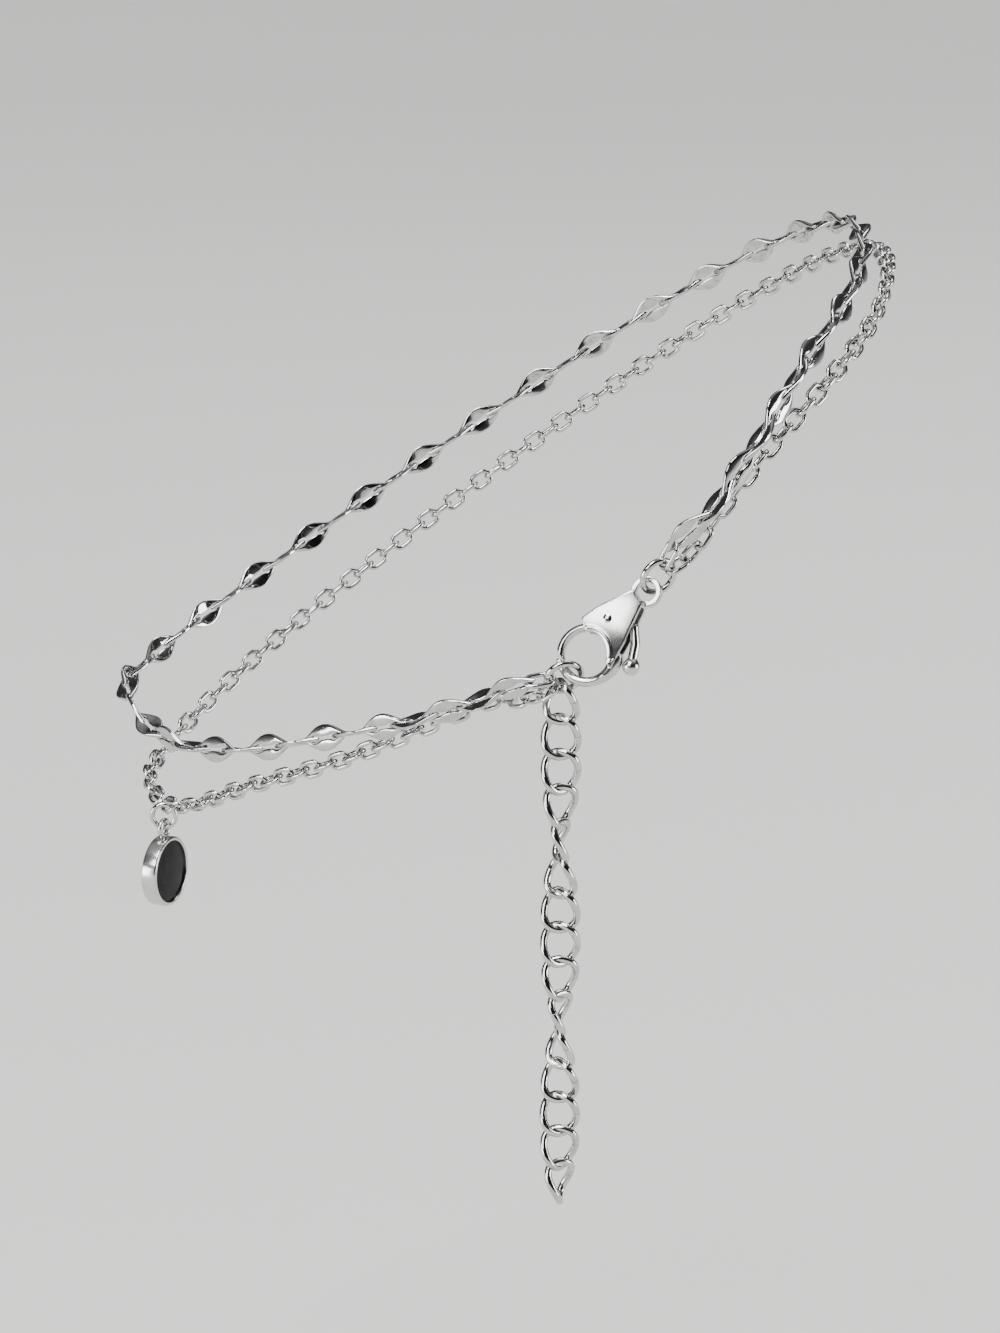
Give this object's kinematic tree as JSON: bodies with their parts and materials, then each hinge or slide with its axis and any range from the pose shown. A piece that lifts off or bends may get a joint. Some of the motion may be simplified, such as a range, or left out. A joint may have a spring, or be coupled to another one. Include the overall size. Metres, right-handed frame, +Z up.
{
  "type": "charm anklet",
  "caption": "Polished steel anklet of paired chain strands joined by a lobster clasp, with a hanging extender chain and a round charm.",
  "frame": {"origin": "middle of the loop, on the axis of the ankle that it is worn round", "axes": "+X to the toes, +Z up, and -Y to the side that the clasp is on"},
  "size_m": [0.0746, 0.065, 0.0864],
  "materials": {
    "steel": "polished",
    "steel_bright": "cast and polished"
  },
  "bodies": {
    "root": {"lip_chain": "steel", "cable_chain_long": "steel", "cable_chain_short": "steel", "cable_link_clasp": "steel", "cable_link_charm": "steel", "cable_link_end": "steel", "clasp_ring": "steel", "end_ring": "steel", "clasp_body": "steel_bright", "extender_chain": "steel", "charm_ring": "steel"},
    "lever": {"clasp_lever": "steel_bright"},
    "charm": {"charm": "steel_bright"}
  },
  "joints": [
    {"name": "lever_hinge", "type": "hinge", "parent": "root", "child": "lever", "pos_m": [0.01192, -0.03157, -0.00567], "axis": [-0.2003, -0.9068, 0.3709], "range_deg": [0, 12], "stiffness_Nm_per_rad": 0.002, "springref_deg": -5.73},
    {"name": "charm_swing", "type": "hinge", "parent": "root", "child": "charm", "pos_m": [-0.03197, -0.00822, -0.03181], "axis": [0.9397, -0.342, 0], "range_deg": [-60, 60]}
  ]
}
